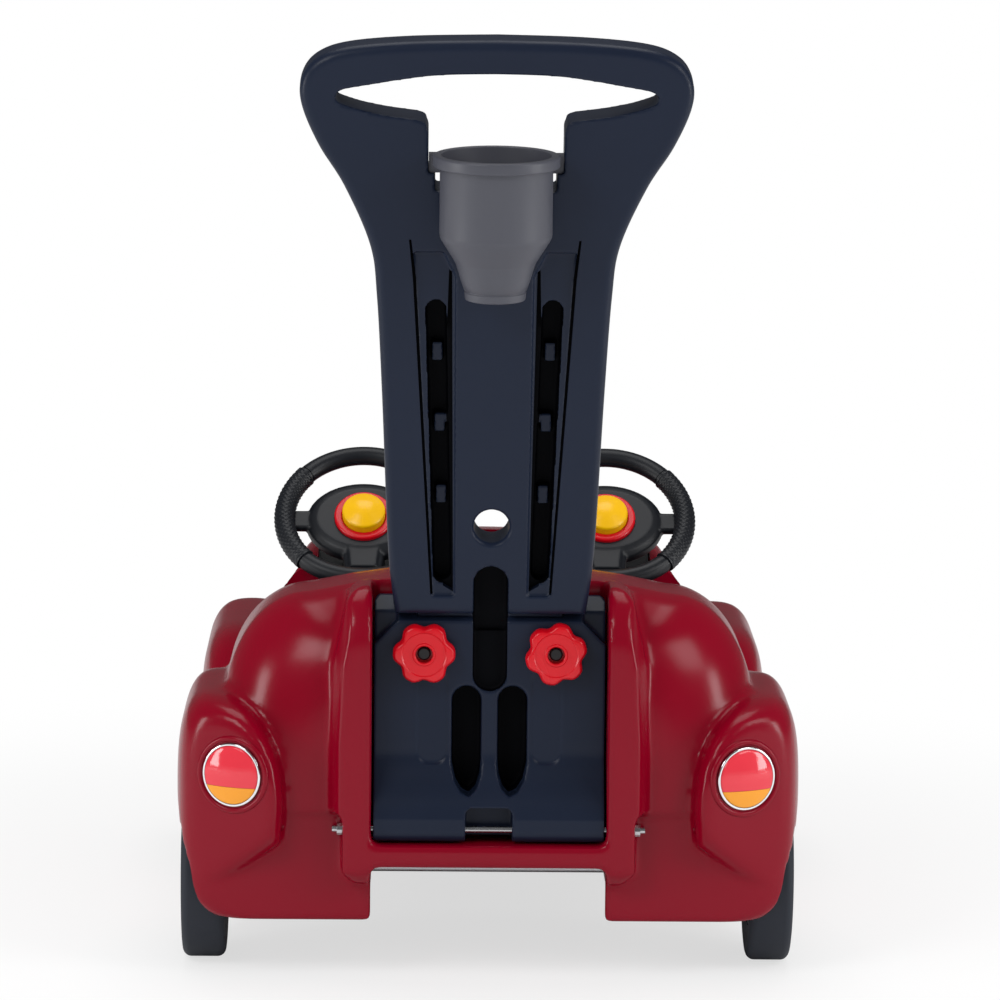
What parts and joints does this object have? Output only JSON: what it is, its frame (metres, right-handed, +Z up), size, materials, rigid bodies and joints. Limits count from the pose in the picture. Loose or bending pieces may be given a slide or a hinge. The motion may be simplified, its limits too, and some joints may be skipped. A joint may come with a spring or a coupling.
{
  "type": "kids ride-on car",
  "caption": "Two-seat ride-on toy car with rounded fenders, twin steering wheels, swivelling front wheels and a leaning push handle with a cup holder.",
  "frame": {"origin": "on the floor under the middle of the bounding box", "axes": "+X across the car to its right, +Y to the front, +Z up"},
  "size_m": [0.6042, 0.9088, 0.9215],
  "materials": {
    "body_red": "deep red semi-gloss moulded plastic",
    "handle_black": "blue-black matte moulded plastic",
    "inside_black": "black moulded plastic",
    "wheel_black": "black moulded plastic",
    "tyre_slate": "dark slate soft tyre",
    "hub_grey": "grey moulded plastic",
    "cup_grey": "mid grey moulded plastic",
    "knob_red": "bright red moulded plastic",
    "horn_yellow": "yellow gloss plastic",
    "lens_red": "red lens plastic",
    "lens_amber": "amber lens plastic",
    "lens_clear": "clear lens plastic",
    "chrome": "bright plated",
    "steel": "bright steel",
    "bolt_black": "black coated steel"
  },
  "bodies": {
    "car_body": {"body_shell": "body_red", "cockpit_insert": "inside_black", "dashboard": "inside_black", "grille": "chrome", "rear_axle": "steel", "front_beam": "inside_black", "hinge_rod": "steel", "seat_left": "wheel_black", "tail_light_bezel_left": "chrome", "tail_lens_red_left": "lens_red", "tail_lens_amber_left": "lens_amber", "head_light_bezel_left": "chrome", "head_lens_left": "lens_clear", "axle_carrier_left": "inside_black", "hinge_nut_left": "steel", "seat_right": "wheel_black", "tail_light_bezel_right": "chrome", "tail_lens_red_right": "lens_red", "tail_lens_amber_right": "lens_amber", "head_light_bezel_right": "chrome", "head_lens_right": "lens_clear", "axle_carrier_right": "inside_black", "hinge_nut_right": "steel"},
    "push_frame": {"push_handle": "handle_black", "handle_base": "handle_black"},
    "cup": {"cup_holder": "cup_grey"},
    "steering_left": {"steering_wheel_left": "wheel_black", "steering_column_left": "wheel_black", "horn_ring_left": "knob_red", "horn_spring_left": "steel"},
    "horn_left": {"horn_button_left": "horn_yellow"},
    "rear_wheel_left": {"rear_tyre_left": "tyre_slate", "rear_hub_left": "hub_grey", "hub_cap_left": "hub_grey"},
    "caster_left": {"caster_fork_left": "inside_black", "caster_stem_left": "steel", "caster_axle_left": "steel"},
    "front_wheel_left": {"front_tyre_left": "tyre_slate", "front_hub_left": "hub_grey"},
    "clamp_knob_left": {"knob_left": "knob_red", "knob_bolt_left": "bolt_black"},
    "steering_right": {"steering_wheel_right": "wheel_black", "steering_column_right": "wheel_black", "horn_ring_right": "knob_red", "horn_spring_right": "steel"},
    "horn_right": {"horn_button_right": "horn_yellow"},
    "rear_wheel_right": {"rear_tyre_right": "tyre_slate", "rear_hub_right": "hub_grey", "hub_cap_right": "hub_grey"},
    "caster_right": {"caster_fork_right": "inside_black", "caster_stem_right": "steel", "caster_axle_right": "steel"},
    "front_wheel_right": {"front_tyre_right": "tyre_slate", "front_hub_right": "hub_grey"},
    "clamp_knob_right": {"knob_right": "knob_red", "knob_bolt_right": "bolt_black"}
  },
  "joints": [
    {"name": "handle_fold", "type": "hinge", "parent": "car_body", "child": "push_frame", "pos_m": [0, -0.28707, 0.1525], "axis": [1, 0, 0], "range_deg": [0, 75]},
    {"name": "cup_lift", "type": "slide", "parent": "push_frame", "child": "cup", "axis": [0, -0.2079, 0.9781], "range_m": [0, 0.06]},
    {"name": "steering_turn_left", "type": "hinge", "parent": "car_body", "child": "steering_left", "pos_m": [-0.127, 0.20643, 0.379], "axis": [0, -0.6947, 0.7193], "continuous": true},
    {"name": "horn_press_left", "type": "slide", "parent": "steering_left", "child": "horn_left", "axis": [0, 0.6947, -0.7193], "range_m": [0, 0.004], "stiffness_N_per_m": 900, "springref_m": -0.001, "deforming": ["horn_spring_left"]},
    {"name": "rear_wheel_spin_left", "type": "hinge", "parent": "car_body", "child": "rear_wheel_left", "pos_m": [-0.298, -0.16857, 0.0895], "axis": [-1, 0, 0], "continuous": true},
    {"name": "caster_swivel_left", "type": "hinge", "parent": "car_body", "child": "caster_left", "pos_m": [-0.205, 0.31643, 0.1355], "axis": [0, 0, 1], "continuous": true},
    {"name": "front_wheel_spin_left", "type": "hinge", "parent": "caster_left", "child": "front_wheel_left", "pos_m": [-0.205, 0.28643, 0.057], "axis": [-1, 0, 0], "continuous": true},
    {"name": "knob_turn_left", "type": "hinge", "parent": "push_frame", "child": "clamp_knob_left", "pos_m": [-0.0633, -0.27157, 0.323], "axis": [0, -1, 0], "continuous": true},
    {"name": "steering_turn_right", "type": "hinge", "parent": "car_body", "child": "steering_right", "pos_m": [0.127, 0.20643, 0.379], "axis": [0, -0.6947, 0.7193], "continuous": true},
    {"name": "horn_press_right", "type": "slide", "parent": "steering_right", "child": "horn_right", "axis": [0, 0.6947, -0.7193], "range_m": [0, 0.004], "stiffness_N_per_m": 900, "springref_m": -0.001, "deforming": ["horn_spring_right"]},
    {"name": "rear_wheel_spin_right", "type": "hinge", "parent": "car_body", "child": "rear_wheel_right", "pos_m": [0.298, -0.16857, 0.0895], "axis": [-1, 0, 0], "continuous": true},
    {"name": "caster_swivel_right", "type": "hinge", "parent": "car_body", "child": "caster_right", "pos_m": [0.205, 0.31643, 0.1355], "axis": [0, 0, 1], "continuous": true},
    {"name": "front_wheel_spin_right", "type": "hinge", "parent": "caster_right", "child": "front_wheel_right", "pos_m": [0.205, 0.28643, 0.057], "axis": [-1, 0, 0], "continuous": true},
    {"name": "knob_turn_right", "type": "hinge", "parent": "push_frame", "child": "clamp_knob_right", "pos_m": [0.0633, -0.27157, 0.323], "axis": [0, -1, 0], "continuous": true}
  ]
}
